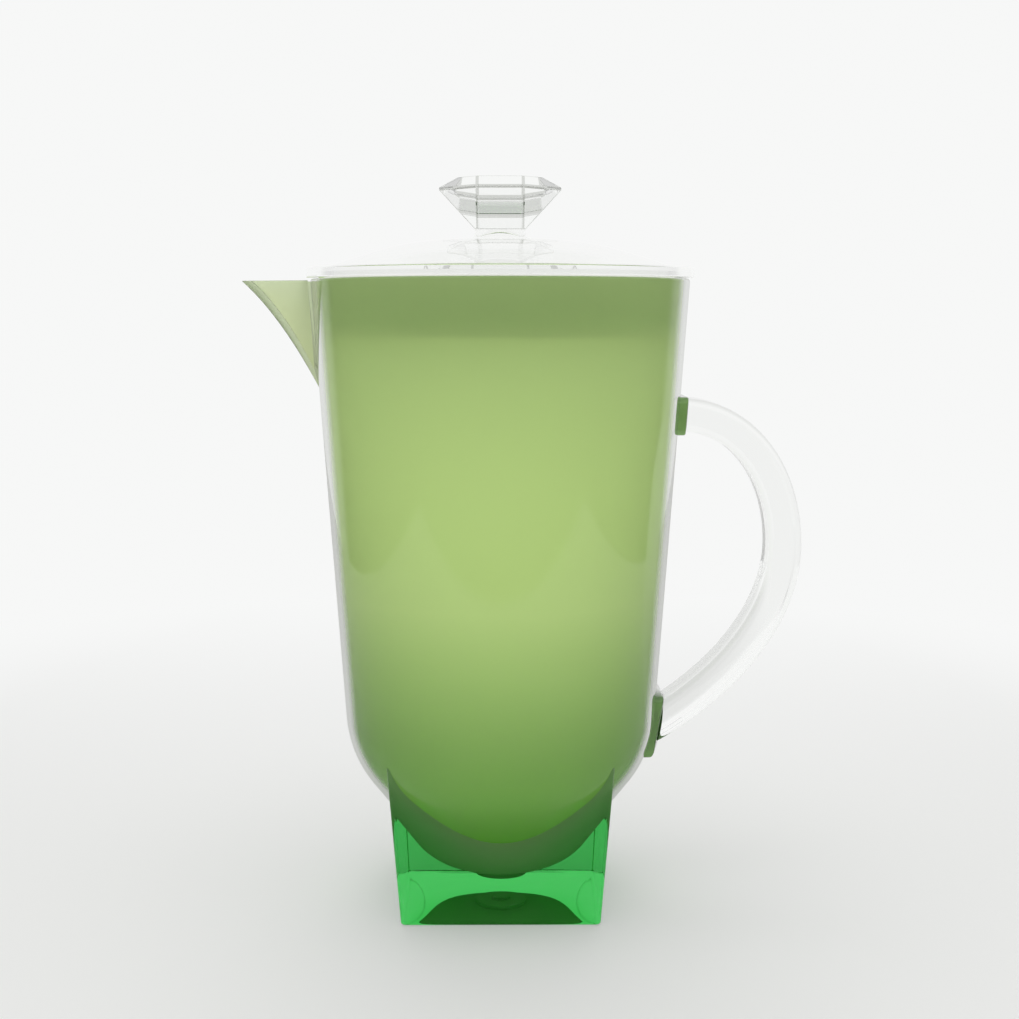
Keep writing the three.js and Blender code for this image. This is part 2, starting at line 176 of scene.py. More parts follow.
# Acrylic
NOISE_DETAIL = 3
MILKY_NOISE_SCALE = 18
CLEAR_NOISE_SCALE = 12
ACRYLIC_IOR = 1.49
KNOB_IOR = 1.38
CLEAR_TINTS = ((0.99, 0.995, 0.985), (0.995, 1, 0.99))
# Darker glass on the knob's bevels: painted shade for the dark lines along cut edges
EDGE_SHADE_TINTS = ((0.45, 0.46, 0.43), (0.53, 0.54, 0.51))
LID_TINTS = ((0.96, 0.965, 0.95), (0.965, 0.97, 0.955))
# Darker tints for the clear skirt: painted shade that dims the wall band behind it
SKIRT_SHADE_TINTS = ((0.83, 0.86, 0.77), (0.84, 0.87, 0.78))
MIRRORED_IN_BAR = 1  # how many times light is mirrored inside a clear piece before it leaves
MIRRORED_IN_KNOB = 3
MIRRORED_IN_FOOT = 3
MIRRORED_AT_WALL = 1  # and how many times before it passes the milky wall
COUNT_MARGIN = 0.5  # a count of at least n is one above n less this
FOOT_IOR = 1.22
FOOT_TINTS = ((0.975, 0.99, 0.975), (0.985, 1, 0.985))
FOOT_DEPTH_COLOUR = (0.06, 0.8, 0.25, 1)
FOOT_DENSITY = 36
# The bonded seats' dark green is painted shade on the milky wall
BONDED_SHADED_TINTS = ((0.17, 0.33, 0.11), (0.19, 0.35, 0.12))
MILKY_BACK = (0.33, 0.83, 0.17)  # what goes back, what is spread onwards, and what keeps its way
MILKY_THROUGH = (0.76, 0.97, 0.45)
MILKY_AHEAD = (0.97, 1, 0.72)
MILKY_MIDDLE_SHARE = 0.93  # how light the wall is at half height, beside its upper part: painted shade that darkens the wall downwards
# Colours of the wall at the bottom of the bowl: painted shade, where less light reaches it
MILKY_SHADED_BACK = (0.04, 0.24, 0.01)
MILKY_SHADED_THROUGH = (0.09, 0.41, 0.01)
MILKY_SHADED_AHEAD = (0.19, 0.41, 0.06)
# The spout's own colours: a greyer copy of the milky green with no darkening by height, painted light for
# how the spout is lit
SPOUT_LIT_THROUGH = (0.74, 0.81, 0.57)
SPOUT_LIT_AHEAD = (0.95, 0.935, 0.77)
# The pads' own colours: a darker copy of the milky green, painted shade
PAD_SHADED_THROUGH = (0.3, 0.5, 0.2)
PAD_SHADED_AHEAD = (0.5, 0.7, 0.35)
MILKY_DARKEST_HEIGHT = 24  # heights where the wall's colour is deepest, middling and palest: painted shade, darker towards the bottom
MILKY_MIDDLE_HEIGHT = 120
MILKY_PALE_HEIGHT = 200
MILKY_THROUGH_SHARE = 0.88
MILKY_FORWARD_SHARE = 0.92  # of the light that goes on, how much keeps its way
MILKY_DRIFT = 0.03
MILKY_ROUGHNESS = 0.04
EDGE_SPAN = (0.6, 0.82)  # how far the wall has turned where its clear outer layer begins and ends to shine
EDGE_SHARE = 0.95

# Studio
TABLE_LEFT = -540
TABLE_RIGHT = 570
TABLE_FRONT = -430
TABLE_BACK = 3000
TABLE_DROP = 0.15
TABLE_WHITE = (0.92, 0.925, 0.91, 1)
TABLE_LIFT_SHARE = 0.35  # how much of the backdrop's white the table has beside the jug
TABLE_FADE_SPAN = (0, 600)  # how far behind the jug the table turns into the backdrop
TABLE_BORDER_SPAN = (100, 600)  # and how far from it on every side
BACKDROP_WHITE = (0.93, 0.935, 0.93, 1)
PLAIN_WHITE = (1, 1, 1, 1)
PLAIN_LEVEL = 1
BACKDROP_SPAN = (0.6, 1)  # how far a direction points backwards, or for the top upwards, in each span
BACKDROP_LIGHT = 2.5
TOP_SPAN = (0.7, 1)
TOP_LIGHT = 2.3
FRONT_LIGHT = 0.05
THROUGH_SPAN = (-0.3, 0.5)
FRONT_THROUGH = 0.5
MIRRORED_SPAN = (0.5, 0.65)
FRONT_MIRRORED = 0.08
LOW_TOP_SPAN = (0.05, 0.4)


def point_between(a, b, share):
    return tuple(p + (q - p) * share for p, q in zip(a, b))


def curve(controls, steps):
    """Points of a Bezier curve, after its first."""
    points = []
    for i in range(1, steps + 1):
        row = controls
        while len(row) > 1:
            row = [point_between(a, b, i / steps) for a, b in zip(row, row[1:])]
        points.append(row[0])
    return points


def bend(points, *controls, steps):
    """Goes on from the last point along a curve."""
    points += curve([points[-1], *controls], steps)


def quarter_round(size, steps):
    """How far a rounded edge stands back from its two faces, from its beginning to its end."""
    turns = [math.pi / 2 * i / steps for i in range(steps + 1)]
    return [(size * (1 - math.cos(turn)), size * (1 - math.sin(turn))) for turn in turns]


def mesh_piece(name, vertices, faces, material, smooth_deg=SMOOTH_DEG):
    data = bpy.data.meshes.new(name)
    data.from_pydata([[c * MM for c in v] for v in vertices], [], faces)
    data.validate()
    data.materials.append(material)
    data.shade_smooth()
    data.set_sharp_from_angle(angle=math.radians(smooth_deg))
    piece = bpy.data.objects.new(name, data)
    bpy.context.scene.collection.objects.link(piece)
    return piece


def lathe(name, outline, material, smooth_deg=SMOOTH_DEG, shape=None):
    """Turns (radius, height) points about Z, with poles at radius 0. A shape can move a ring's points."""
    vertices = []
    rings = []
    for radius, height in outline:
        start = len(vertices)
        if radius == 0:
            vertices.append((0, 0, height))
            rings.append([start] * AROUND)
            continue
        for i in range(AROUND):
            turn = 2 * math.pi * i / AROUND
            x, y = radius * math.cos(turn), radius * math.sin(turn)
            if shape:
                x, y = shape(x, y, height, turn)
            vertices.append((x, y, height))
        rings.append(list(range(start, start + AROUND)))
    faces = []
    for low, high in zip(rings, rings[1:]):
        for i in range(AROUND):
            j = (i + 1) % AROUND
            corners = [low[i], low[j], high[j], high[i]]
            faces.append(list(dict.fromkeys(corners)))
    return mesh_piece(name, vertices, faces, material, smooth_deg)


def strips(rings, count, upwards):
    """Faces that join each ring of points to the next, either one above another or along a path."""
    faces = []
    for ring in range(rings - 1):
        for i in range(count):
            a = ring * count + i
            b = ring * count + (i + 1) % count
            faces.append([a, b, b + count, a + count] if upwards else [a, a + count, b + count, b])
    return faces


def loft(name, rings, material):
    """A closed piece from rings of points that lie one above another."""
    count = len(rings[0])
    last = (len(rings) - 1) * count
    bottom = list(range(count))[::-1]
    top = list(range(last, last + count))
    faces = [bottom, *strips(len(rings), count, True), top]
    return mesh_piece(name, [point for ring in rings for point in ring], faces, material)


def rounded_rectangle(width, depth, rounding, steps):
    x, y = width / 2 - rounding, depth / 2 - rounding
    points = []
    for quarter, (cx, cy) in enumerate([(x, y), (-x, y), (-x, -y), (x, -y)]):
        for i in range(steps + 1):
            turn = math.pi / 2 * (quarter + i / steps)
            points.append((cx + rounding * math.cos(turn), cy + rounding * math.sin(turn)))
    return points


def cut(piece, cutter):
    """Takes the cutter away from the piece. The cut's faces keep the cutter's material."""
    boolean = piece.modifiers.new("cut", "BOOLEAN")
    boolean.operation = "DIFFERENCE"
    boolean.solver = "EXACT"
    boolean.material_mode = "TRANSFER"
    boolean.object = cutter
    apply_modifiers(piece)
    bpy.data.objects.remove(cutter)


def apply_modifiers(piece):
    ready = piece.evaluated_get(bpy.context.evaluated_depsgraph_get())
    data = bpy.data.meshes.new_from_object(ready)
    old = piece.data
    piece.modifiers.clear()
    piece.data = data
    bpy.data.meshes.remove(old)
    data.shade_smooth()
    data.set_sharp_from_angle(angle=math.radians(SMOOTH_DEG))


# Vessel outline

bowl_slope = (SHOULDER_RADIUS - BOWL_CORNER_RADIUS) / (SHOULDER_HEIGHT - BOWL_CORNER_HEIGHT)
wall_slope = (RIM_RADIUS - SHOULDER_RADIUS) / (RIM_HEIGHT - SHOULDER_HEIGHT)


def bowl_radius(height):
    return SHOULDER_RADIUS + bowl_slope * (height - SHOULDER_HEIGHT)


def wall_radius(height):
    return SHOULDER_RADIUS + wall_slope * (height - SHOULDER_HEIGHT)


def vessel_outline():
    bottom = (0, BOTTOM_HEIGHT)
    bottom_end = BOWL_CORNER_HEIGHT + BOWL_CORNER_BLEND_HEIGHT
    low = SHOULDER_HEIGHT - BOWL_BLEND_HEIGHT
    high = SHOULDER_HEIGHT + WALL_BLEND_HEIGHT
    start = (bowl_radius(bottom_end), bottom_end)
    flat = (BOTTOM_FLAT_RADIUS, BOTTOM_HEIGHT)
    corner = (BOWL_CORNER_RADIUS, BOWL_CORNER_HEIGHT)
    points = [bottom, *curve([bottom, flat, corner, start], BOWL_STEPS)]
    blend_start = (bowl_radius(low), low)
    points += curve([start, blend_start], BOWL_FLANK_STEPS)
    blend_end = (wall_radius(high), high)
    points += curve([blend_start, (SHOULDER_RADIUS, SHOULDER_HEIGHT), blend_end], SHOULDER_STEPS)
    points += curve([blend_end, (RIM_RADIUS, RIM_HEIGHT)], WALL_STEPS)
    return points


def offset_vessel(distance):
    points = vessel_outline()
    moved = []
    for i, (radius, height) in enumerate(points):
        before = points[max(i - 1, 0)]
        after = points[min(i + 1, len(points) - 1)]
        dx, dz = after[0] - before[0], after[1] - before[1]
        length = math.hypot(dx, dz)
        moved.append((radius + distance * dz / length, height - distance * dx / length))
    moved[0] = (0, BOTTOM_HEIGHT - distance)
    moved[-1] = (RIM_RADIUS + distance * math.hypot(1, wall_slope), RIM_HEIGHT)
    return moved


def offset_radius(distance, height):
    """Radius, at a height above the bowl's corner, of the vessel's outer face moved outwards."""
    points = offset_vessel(distance)
    for a, b in zip(points, points[1:]):
        if a[1] <= height <= b[1] and b[1] > a[1]:
            return point_between(a, b, (height - a[1]) / (b[1] - a[1]))[0]
    return points[-1][0]


def vessel_blank(name, distance, material):
    """The vessel's form, filled and moved outwards, to cut seats for it."""
    points = offset_vessel(distance)
    above = RIM_HEIGHT + CUT_OVERRUN
    points += [(points[-1][0], above), (0, above)]
    return lathe(name, points, material)


# Nodes


def new_material(name):
    material = bpy.data.materials.new(name)
    material.use_nodes = True
    nodes = material.node_tree.nodes
    nodes.clear()
    return material, nodes, material.node_tree.links


def finish_material(nodes, links, surface):
    out = nodes.new("ShaderNodeOutputMaterial")
    links.new(surface, out.inputs["Surface"])
    return out


def feed(links, value, socket):
    """Sets a socket to a number, or joins another node's output to it."""
    if isinstance(value, (int, float)):
        socket.default_value = value
    else:
        links.new(value, socket)


def math_node(nodes, links, operation, *values, clamp=False):
    node = nodes.new("ShaderNodeMath")
    node.operation = operation
    node.use_clamp = clamp
    for value, socket in zip(values, node.inputs):
        feed(links, value, socket)
    return node.outputs["Value"]


def rise_node(nodes, links, value, span, low=0, high=1, smooth=True):
    """Goes from low to high while the value goes through the span."""
    node = nodes.new("ShaderNodeMapRange")
    if smooth:
        node.interpolation_type = "SMOOTHSTEP"
    node.inputs["From Min"].default_value = span[0]
    node.inputs["From Max"].default_value = span[1]
    node.inputs["To Min"].default_value = low
    node.inputs["To Max"].default_value = high
    links.new(value, node.inputs["Value"])
    return node.outputs["Result"]


def mix_shaders(nodes, links, share, first, second):
    mix = nodes.new("ShaderNodeMixShader")
    feed(links, share, mix.inputs["Fac"])
    links.new(first, mix.inputs[1])
    links.new(second, mix.inputs[2])
    return mix.outputs["Shader"]


def coloured(nodes, links, kind, colour):
    """A plain shader of one kind with a colour that another node gives."""
    shader = nodes.new(kind)
    links.new(colour, shader.inputs["Color"])
    return shader.outputs["BSDF"]


def clear_way(nodes):
    """A surface that light passes as if it weren't there."""
    return nodes.new("ShaderNodeBsdfTransparent").outputs["BSDF"]


def object_noise(nodes, links, scale):
    coordinates = nodes.new("ShaderNodeTexCoord")
    noise = nodes.new("ShaderNodeTexNoise")
    noise.inputs["Scale"].default_value = scale
    noise.inputs["Detail"].default_value = NOISE_DETAIL
    links.new(coordinates.outputs["Object"], noise.inputs["Vector"])
    return noise.outputs["Fac"]


def object_part(nodes, links, axis):
    coordinates = nodes.new("ShaderNodeTexCoord")
    split = nodes.new("ShaderNodeSeparateXYZ")
    links.new(coordinates.outputs["Object"], split.inputs["Vector"])
    return split.outputs[axis]


def colour_ramp(nodes, links, value, low, high):
    ramp = nodes.new("ShaderNodeValToRGB")
    ramp.color_ramp.elements[0].color = (*low, 1)
    ramp.color_ramp.elements[1].color = (*high, 1)
    links.new(value, ramp.inputs["Fac"])
    return ramp


def faint_mottle(nodes, links, tints, scale):
    """A colour that drifts faintly across the piece, as poured or moulded acrylic's does."""
    return colour_ramp(nodes, links, object_noise(nodes, links, scale), *tints).outputs["Color"]


def mirrored(nodes, links, times):
    """1 for light seen over this many reflections in a clear piece, and 0 once a surface has spread it."""
    path = nodes.new("ShaderNodeLightPath")
    least = times - COUNT_MARGIN
    often = math_node(nodes, links, "GREATER_THAN", path.outputs["Glossy Depth"], least)
    inside = math_node(nodes, links, "MULTIPLY", often, path.outputs["Transmission Depth"], clamp=True)
    return math_node(nodes, links, "SUBTRACT", inside, path.outputs["Diffuse Depth"], clamp=True)


def seen_through(nodes, links):
    """1 for light seen through a clear piece, but not for light that a surface has just spread."""
    path = nodes.new("ShaderNodeLightPath")
    entered = math_node(nodes, links, "MINIMUM", path.outputs["Transmission Depth"], 1)
    return math_node(nodes, links, "SUBTRACT", entered, path.outputs["Is Diffuse Ray"], clamp=True)


def let_out(nodes, links, surface, times):
    """Light mirrored this often inside a clear piece leaves it, as it would after many more times."""
    return mix_shaders(nodes, links, mirrored(nodes, links, times), surface, clear_way(nodes))


# Materials


def height_shaded_colour(nodes, links, low, high):
    """The milky wall's colour, with painted shade: dark at the bottom of the bowl, paler upwards, with a
    faint drift.
    """
    span = (MILKY_DARKEST_HEIGHT * MM, MILKY_PALE_HEIGHT * MM)
    rise = rise_node(nodes, links, object_part(nodes, links, "Z"), span, smooth=False)
    noise = object_noise(nodes, links, MILKY_NOISE_SCALE)
    drift = math_node(nodes, links, "MULTIPLY_ADD", noise, -MILKY_DRIFT, rise)
    ramp = colour_ramp(nodes, links, drift, low, high)
    place = (MILKY_MIDDLE_HEIGHT - MILKY_DARKEST_HEIGHT) / (MILKY_PALE_HEIGHT - MILKY_DARKEST_HEIGHT)
    middle = ramp.color_ramp.elements.new(place)
    middle.color = (*(c * MILKY_MIDDLE_SHARE for c in high), 1)
    return ramp.outputs["Color"]


def milky_cloud(nodes, links, low, high):
    """Some light goes back and most is spread through. Light that is already spread mostly keeps its way."""
    back_colour, through_colour, ahead_colour = (
        height_shaded_colour(nodes, links, deep, pale) for deep, pale in zip(low, high)
    )
    back = coloured(nodes, links, "ShaderNodeBsdfDiffuse", back_colour)
    through = coloured(nodes, links, "ShaderNodeBsdfTranslucent", through_colour)
    ahead = coloured(nodes, links, "ShaderNodeBsdfTransparent", ahead_colour)
    milk = mix_shaders(nodes, links, MILKY_THROUGH_SHARE, back, through)
    path = nodes.new("ShaderNodeLightPath")
    spread = math_node(
        nodes, links, "MAXIMUM", path.outputs["Is Diffuse Ray"], path.outputs["Is Shadow Ray"]
    )
    forward = math_node(nodes, links, "MULTIPLY", spread, MILKY_FORWARD_SHARE)
    return mix_shaders(nodes, links, forward, milk, ahead)


def milky_shine(nodes, links):
    """How much the wall's clear outer layer shines: a little all over, and strongly where it turns away."""
    edge = nodes.new("ShaderNodeFresnel")
    edge.inputs["IOR"].default_value = ACRYLIC_IOR
    turned = nodes.new("ShaderNodeLayerWeight")
    layer = rise_node(nodes, links, turned.outputs["Facing"], EDGE_SPAN, high=EDGE_SHARE)
    return math_node(nodes, links, "MAXIMUM", edge.outputs["Fac"], layer)


def milky_green(name, low, high):
    """Milky acrylic scatters light once, where the light enters the wall, and lets it leave freely."""
    material, nodes, links = new_material(name)
    gloss = nodes.new("ShaderNodeBsdfGlossy")
    gloss.inputs["Roughness"].default_value = MILKY_ROUGHNESS
    cloud = milky_cloud(nodes, links, low, high)
    skin = mix_shaders(nodes, links, milky_shine(nodes, links), cloud, gloss.outputs["BSDF"])
    side = nodes.new("ShaderNodeNewGeometry")
    inside = mirrored(nodes, links, MIRRORED_AT_WALL)
    passes = math_node(nodes, links, "MAXIMUM", side.outputs["Backfacing"], inside)
    finish_material(nodes, links, mix_shaders(nodes, links, passes, skin, clear_way(nodes)))
    return material


def shaded_bonded_green(name, times):
    """The milky green as seen from inside a clear piece that is bonded to it: it has no gloss there, and its
    dark colour is painted shade.
    """
    material, nodes, links = new_material(name)
    skin = nodes.new("ShaderNodeBsdfPrincipled")
    skin.inputs["Roughness"].default_value = 1
    skin.inputs["Specular IOR Level"].default_value = 0
    links.new(faint_mottle(nodes, links, BONDED_SHADED_TINTS, MILKY_NOISE_SCALE), skin.inputs["Base Color"])
    finish_material(nodes, links, let_out(nodes, links, skin.outputs["BSDF"], times))
    return material


def refracting(nodes, links, ior, colour):
    glass = nodes.new("ShaderNodeBsdfPrincipled")
    glass.inputs["Roughness"].default_value = 0
    glass.inputs["IOR"].default_value = ior
    glass.inputs["Transmission Weight"].default_value = 1
    links.new(colour, glass.inputs["Base Color"])
    return glass.outputs["BSDF"]


def clear_acrylic(name, ior, times, tints=CLEAR_TINTS, skirt_shade_tints=None):
    """Clear acrylic. A second, darker pair of tints holds below the lid's flange: painted shade, so that the
    skirt dims the band of wall behind it.
    """
    material, nodes, links = new_material(name)
    colour = faint_mottle(nodes, links, tints, CLEAR_NOISE_SCALE)
    if skirt_shade_tints:
        height = object_part(nodes, links, "Z")
        above = math_node(nodes, links, "GREATER_THAN", height, FLANGE_LOW * MM)
        mix = nodes.new("ShaderNodeMix")
        mix.data_type = "RGBA"
        links.new(above, mix.inputs["Factor"])
        links.new(faint_mottle(nodes, links, skirt_shade_tints, CLEAR_NOISE_SCALE), mix.inputs["A"])
        links.new(colour, mix.inputs["B"])
        colour = mix.outputs["Result"]
    glass = refracting(nodes, links, ior, colour)
    finish_material(nodes, links, let_out(nodes, links, glass, times))
    return material


def clear_green_acrylic():
    material, nodes, links = new_material("clear_green_acrylic")
    colour = faint_mottle(nodes, links, FOOT_TINTS, CLEAR_NOISE_SCALE)
    glass = refracting(nodes, links, FOOT_IOR, colour)
    out = finish_material(nodes, links, let_out(nodes, links, glass, MIRRORED_IN_FOOT))
    depth = nodes.new("ShaderNodeVolumeAbsorption")
    depth.inputs["Color"].default_value = FOOT_DEPTH_COLOUR
    depth.inputs["Density"].default_value = FOOT_DENSITY
    links.new(depth.outputs["Volume"], out.inputs["Volume"])
    return material


# Spout

spout_rise = SPOUT_TOP - SPOUT_POINT_HEIGHT
spout_root = wall_radius(SPOUT_TOP)
spout_point_radius = wall_radius(SPOUT_POINT_HEIGHT)
keel_run = SPOUT_REACH - spout_point_radius
spout_level = SPOUT_WALL * math.hypot(spout_rise, keel_run) / spout_rise
inner_share = 1 - SPOUT_WALL / SPOUT_HALF_WIDTH
inner_half_width = SPOUT_HALF_WIDTH * inner_share
inner_point_height = SPOUT_TOP - spout_rise * inner_share
inner_point_radius = spout_point_radius + keel_run * (1 - inner_share) - spout_level


def spout_plan(reach, half_width, tip_radius):
    """Half-open outline of the spout in plan: a straight side, the round tip and the other straight side."""
    centre = reach - tip_radius
    length = centre - spout_root
    taper = math.acos(tip_radius / math.hypot(length, half_width)) - math.atan2(length, half_width)
    arc = math.pi - 2 * taper
    points = []
    for i in range(SPOUT_TIP_STEPS + 1):
        turn = math.pi / 2 + taper + arc * i / SPOUT_TIP_STEPS
        points.append((tip_radius * math.cos(turn) - centre, tip_radius * math.sin(turn)))
    left = curve([(-spout_root, half_width), points[0]], SPOUT_SIDE_STEPS)[:-1]
    right = curve([points[-1], (-spout_root, -half_width)], SPOUT_SIDE_STEPS)
    return [(-spout_root, half_width), *left, *points, *right]


outer_plan = spout_plan(SPOUT_REACH, SPOUT_HALF_WIDTH, SPOUT_TIP_RADIUS)
inner_plan = spout_plan(SPOUT_REACH - spout_level, inner_half_width, SPOUT_TIP_RADIUS * inner_share)
outer_apex = (-spout_point_radius, 0, SPOUT_POINT_HEIGHT)
inner_apex = (-inner_point_radius, 0, inner_point_height)


def on_spout(apex, rim, share):
    """Point on a line from the spout's lowest point to its rim. Away from the wall the line bows upwards."""
    x, y, z = point_between(apex, rim, share)
    out = max(0, -rim[0] - spout_root) / (SPOUT_REACH - spout_root)
    # Halfway along the line, 4 times the two shares is 1
    return (x, y, z + 4 * SPOUT_BOW * out * share * (1 - share))


def spout_column(outer, inner):
    """A line up the spout's outside, over its rounded lip and down its inside."""
    out_rim = (*outer, SPOUT_TOP)
    in_rim = (*inner, SPOUT_TOP)
    shares = [s / SPOUT_RISE_STEPS for s in range(SPOUT_RISE_STEPS + 1)]
    out_low = on_spout(outer_apex, out_rim, 1 - SPOUT_LIP_FALL / spout_rise)
    in_low = on_spout(inner_apex, in_rim, 1 - SPOUT_LIP_FALL / (SPOUT_TOP - inner_point_height))
    out_top = point_between(out_rim, in_rim, SPOUT_LIP_SHARE)
    in_top = point_between(in_rim, out_rim, SPOUT_LIP_SHARE)
    return [
        *[on_spout(outer_apex, out_rim, share) for share in shares[:-1]],
        out_low,
        *curve([out_low, out_rim, out_top], SPOUT_LIP_STEPS),
        in_top,
        *curve([in_top, in_rim, in_low], SPOUT_LIP_STEPS),
        *[on_spout(inner_apex, in_rim, 1 - share) for share in shares[1:]],
    ]


def outside_wall(x, y, z):
    """Moves a point that lies deeper in the vessel than the bond out along X, to the bond's depth."""
    bound = offset_radius(-BONDED_DEPTH, z)
    if math.hypot(x, y) < bound:
        x = -math.sqrt(max(bound * bound - y * y, 0))
    return (x, y, z)


def make_spout(green):
    columns = [spout_column(outer, inner) for outer, inner in zip(outer_plan, inner_plan)]
    vertices = [outside_wall(*point) for column in columns for point in column]
    rows = len(columns[0])
    faces = []
    for c in range(len(columns) - 1):
        for r in range(rows - 1):
            a = c * rows + r
            faces.append([a, a + 1, a + 1 + rows, a + rows])
    last = (len(columns) - 1) * rows
    faces.append(list(range(rows))[::-1])
    faces.append(list(range(last, last + rows)))
    return mesh_piece("spout_trough", vertices, faces, green)


# Vessel wall


def make_notch(material):
    """What the spout's hollow takes out of the wall."""
    inward = spout_root - NOTCH_REACH
    plan = [(-inward, inner_half_width), *inner_plan, (-inward, -inner_half_width)]
    beyond = 1 + CUT_OVERRUN / (SPOUT_TOP - inner_point_height)
    top = [point_between(inner_apex, (x, y, SPOUT_TOP), beyond) for x, y in plan]
    count = len(top)
    sides = [[count, (i + 1) % count, i] for i in range(count)]
    return mesh_piece("notch", [*top, inner_apex], [*sides, list(range(count))], material)


def pip_outline(clearance):
    """The stepped round pip under the bowl, from its tip out to its edge."""
    shelf = BOTTOM_HEIGHT - PIP_DEPTH + clearance
    tip = shelf - PIP_STEP_DEPTH
    step = PIP_STEP_RADIUS - clearance
    return [(0, tip), (step, tip), (step, shelf), (PIP_RADIUS - clearance, shelf)]


def with_pip(outer):
    """The vessel's outline with the pip in place of the bowl's middle."""
    pip = pip_outline(CONTACT)
    edge = pip[-1][0]
    beyond = [point for point in outer if point[0] > edge]
    inside = [point for point in outer if point[0] <= edge][-1]
    meeting = point_between(inside, beyond[0], (edge - inside[0]) / (beyond[0][0] - inside[0]))
    return [*pip, meeting, *beyond]


def make_body(green):
    outer = with_pip(offset_vessel(0))
    inner = offset_vessel(-WALL_THICKNESS)
    outer_top = outer.pop()[0]
    inner_top = inner.pop()[0]
    low = RIM_HEIGHT - RIM_ROUNDING
    inner_edge = (inner_top - wall_slope * RIM_ROUNDING, low)
    points = [*outer, (wall_radius(low), low)]
    bend(points, (outer_top, RIM_HEIGHT), (outer_top - RIM_ROUNDING, RIM_HEIGHT), steps=RIM_STEPS)
    points.append((inner_top + RIM_ROUNDING, RIM_HEIGHT))
    bend(points, (inner_top, RIM_HEIGHT), inner_edge, steps=RIM_STEPS)
    body = lathe("vessel_wall", [*points, *inner[::-1]], green)
    cut(body, make_notch(green))
    return body


# Pads and handle


def make_pad(name, centre, below, above, green):
    """A raised patch of the wall's own form with softened edges."""
    levels = [(0, -BONDED_DEPTH), (0, PAD_PROUD - PAD_EDGE)]
    levels += [(inset, PAD_PROUD - fall) for inset, fall in quarter_round(PAD_EDGE, PAD_EDGE_STEPS)[1:]]
    outlines = []
    for inset, proud in levels:
        size = (below + above - 2 * inset, PAD_WIDTH - 2 * inset)
        outlines.append((rounded_rectangle(*size, PAD_ROUNDING - inset, PAD_CORNER_STEPS), proud))
    flat = outlines[-1][0]
    outlines += [([(a * share, b * share) for a, b in flat], PAD_PROUD) for share in PAD_INNER_SHARES]
    outlines.append(([(0, 0)], PAD_PROUD))
    vertices = []
    for outline, proud in outlines:
        for up, across in outline:
            height = centre + (above - below) / 2 + up
            radius = offset_radius(proud, height)
            vertices.append((math.sqrt(radius * radius - across * across), across, height))
    count = len(flat)
    last = (len(outlines) - 2) * count
    middle = len(vertices) - 1
    fan = [[last + i, middle, last + (i + 1) % count] for i in range(count)]
    faces = [list(range(count)), *strips(len(outlines) - 1, count, False), *fan]
    return mesh_piece(name, vertices, faces, green)


def sweep(name, path, section, material):
    """Moves a flat section along a path in the XZ plane. The section's first axis is Y."""
    count = len(section)
    vertices = []
    for i, (x, z) in enumerate(path):
        before, after = path[max(i - 1, 0)], path[min(i + 1, len(path) - 1)]
        dx, dz = after[0] - before[0], after[1] - before[1]
        length = math.hypot(dx, dz)
        nx, nz = dz / length, -dx / length
        vertices += [(x + b * nx, a, z + b * nz) for a, b in section]
    last = (len(path) - 1) * count
    ends = [list(range(count)), list(range(last, last + count))[::-1]]
    return mesh_piece(name, vertices, [ends[0], *strips(len(path), count, False), ends[1]], material)


def make_handle(clear, bonded):
    slope = math.radians(HANDLE_LOWER_SLOPE_DEG)
    along = (math.cos(slope), math.sin(slope))
    start = wall_radius(HANDLE_UPPER_HEIGHT)
    end_x = wall_radius(HANDLE_LOWER_HEIGHT) + PAD_PROUD - HANDLE_OVERRUN * along[0]
    end_z = HANDLE_LOWER_HEIGHT - HANDLE_OVERRUN * along[1]
    upper = [
        (start, HANDLE_UPPER_HEIGHT),
        (start + HANDLE_UPPER_PULL, HANDLE_UPPER_HEIGHT),
        (HANDLE_REACH, HANDLE_REACH_HEIGHT + HANDLE_SIDE_PULL),
        (HANDLE_REACH, HANDLE_REACH_HEIGHT),
    ]
    lower = [
        (HANDLE_REACH, HANDLE_REACH_HEIGHT),
        (HANDLE_REACH, HANDLE_REACH_HEIGHT - HANDLE_SIDE_PULL),
        (end_x + HANDLE_LOWER_PULL * along[0], end_z + HANDLE_LOWER_PULL * along[1]),
        (end_x, end_z),
    ]
    path = [upper[0], *curve(upper, HANDLE_STEPS), *curve(lower, HANDLE_STEPS)]
    section = rounded_rectangle(HANDLE_WIDTH, HANDLE_THICKNESS, HANDLE_EDGE_ROUNDING, HANDLE_CORNER_STEPS)
    handle = sweep("handle_bar", path, section, clear)
    cut(handle, vessel_blank("handle_seat", PAD_PROUD + CONTACT, bonded))
    return handle


# Foot


def make_foot(glass, bonded):
    growth = (FOOT_TOP_WIDTH - FOOT_BASE_WIDTH) / FOOT_TOP_HEIGHT
    sections = []
    for height, inset in [*quarter_round(FOOT_EDGE_BEVEL, FOOT_EDGE_STEPS), (FOOT_TOP_HEIGHT, 0)]:
        width = FOOT_BASE_WIDTH + growth * height - 2 * inset
        outline = rounded_rectangle(width, width, FOOT_CORNER_ROUNDING, FOOT_CORNER_STEPS)
        sections.append([(x, y, height) for x, y in outline])
    foot = loft("foot_block", sections, glass)
    cut(foot, vessel_blank("foot_seat", CONTACT, bonded))
    cut(foot, make_pip_seat(bonded))
    cut(foot, make_vault(glass))
    return foot


